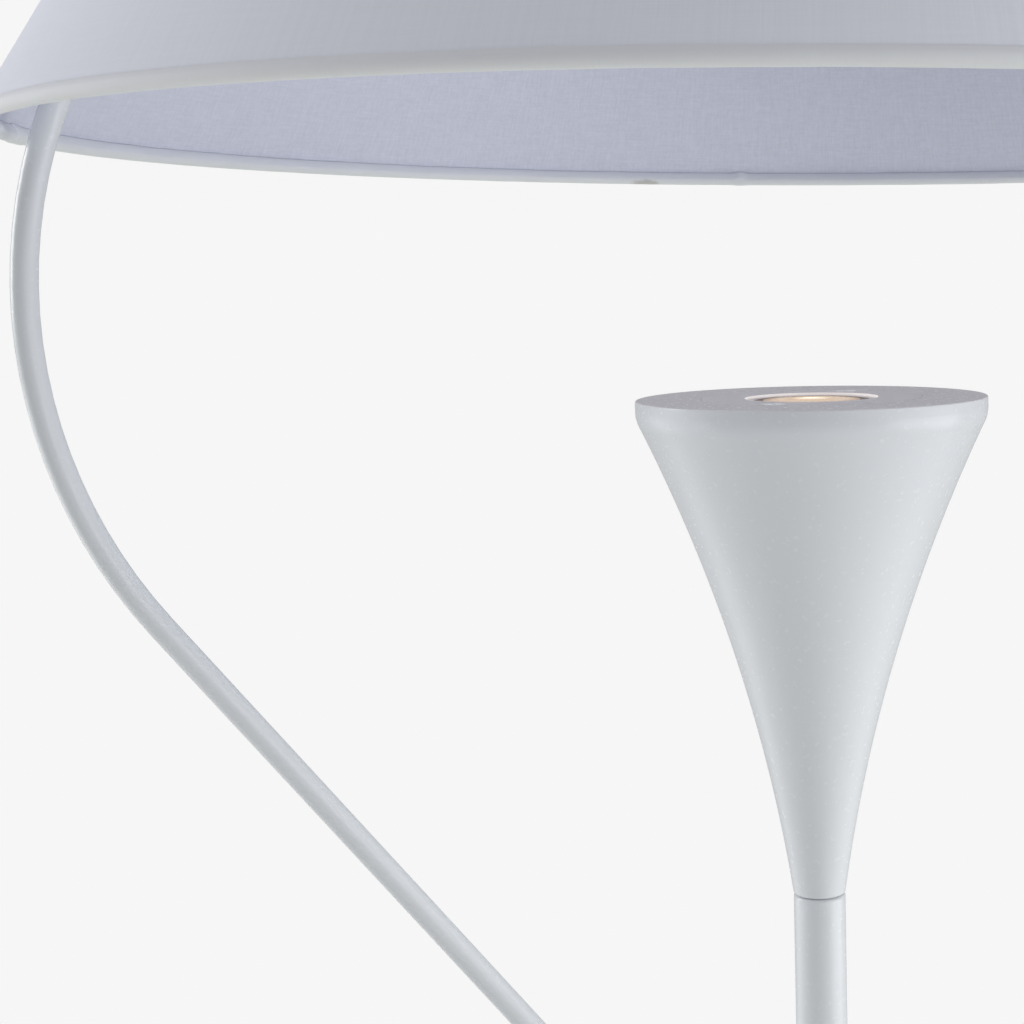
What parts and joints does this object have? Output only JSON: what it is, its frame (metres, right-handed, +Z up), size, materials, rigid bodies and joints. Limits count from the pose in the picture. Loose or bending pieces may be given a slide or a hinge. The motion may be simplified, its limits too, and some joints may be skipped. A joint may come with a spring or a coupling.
{
  "type": "tripod floor lamp",
  "caption": "Tripod floor lamp: a trumpet uplighter on a short stem, with a bent arm rising from the hub to carry a wide conical fabric shade over it.",
  "frame": {"origin": "on the floor, on the axis of the stem", "axes": "+Z up along the stem; the bent arm leaves the hub towards -X and the first leg points to +X"},
  "size_m": [0.6278, 0.623, 1.65],
  "materials": {
    "white_paint": "satin white powder coat",
    "coated_wire": "white coated wire",
    "shade_fabric": "fine white woven fabric",
    "lining_fabric": "white lining with a linen grain",
    "hem_fabric": "rolled white hem tape",
    "zinc_steel": "zinc plated",
    "turned_aluminium": "fine turned",
    "socket_ceramic": "unglazed",
    "lamp_housing": "moulded",
    "lamp_optic": "faceted clear optic, lit warm",
    "pin_brass": "turned",
    "cable_sheath": "white sheath",
    "grey_nylon": "moulded",
    "clear_nylon": "natural nylon",
    "button_plastic": "satin white",
    "grey_rubber": "moulded light grey rubber"
  },
  "bodies": {
    "stand": {"arm_head": "white_paint", "arm_rod": "white_paint", "button_bezel": "turned_aluminium", "cord_gland": "grey_nylon", "cover_screws": "zinc_steel", "dimmer_module": "grey_nylon", "foot_tip_1": "grey_rubber", "foot_tip_2": "grey_rubber", "foot_tip_3": "grey_rubber", "grub_screws": "zinc_steel", "holder_screws": "zinc_steel", "hub_base": "white_paint", "hub_body": "white_paint", "hub_screws": "zinc_steel", "lamp_body": "lamp_housing", "lamp_cover": "white_paint", "lamp_holder": "socket_ceramic", "lamp_lens": "lamp_optic", "lamp_pins": "pin_brass", "lamp_strap": "zinc_steel", "leg_1": "white_paint", "leg_2": "white_paint", "leg_3": "white_paint", "neck_nut": "zinc_steel", "neck_plug": "turned_aluminium", "shade_nut": "white_paint", "shade_washers": "clear_nylon", "stem_cable": "cable_sheath", "stem_tube": "white_paint", "terminal_block": "grey_nylon", "trumpet_shell": "white_paint"},
    "shade": {"shade_cover": "shade_fabric", "shade_lining": "lining_fabric", "seam_tape": "hem_fabric", "top_hem": "hem_fabric", "bottom_hem": "hem_fabric", "top_ring": "coated_wire", "bottom_ring": "coated_wire", "spider": "coated_wire"},
    "button": {"dimmer_button": "button_plastic"}
  },
  "joints": [
    {"name": "shade_turn", "type": "hinge", "parent": "stand", "child": "shade", "pos_m": [0, 0, 1.57393], "axis": [0.0164, 0, 0.9999], "continuous": true},
    {"name": "dimmer_press", "type": "slide", "parent": "stand", "child": "button", "axis": [0, 1, 0], "range_m": [0, 0.0012], "stiffness_N_per_m": 800, "springref_m": -0.002}
  ]
}
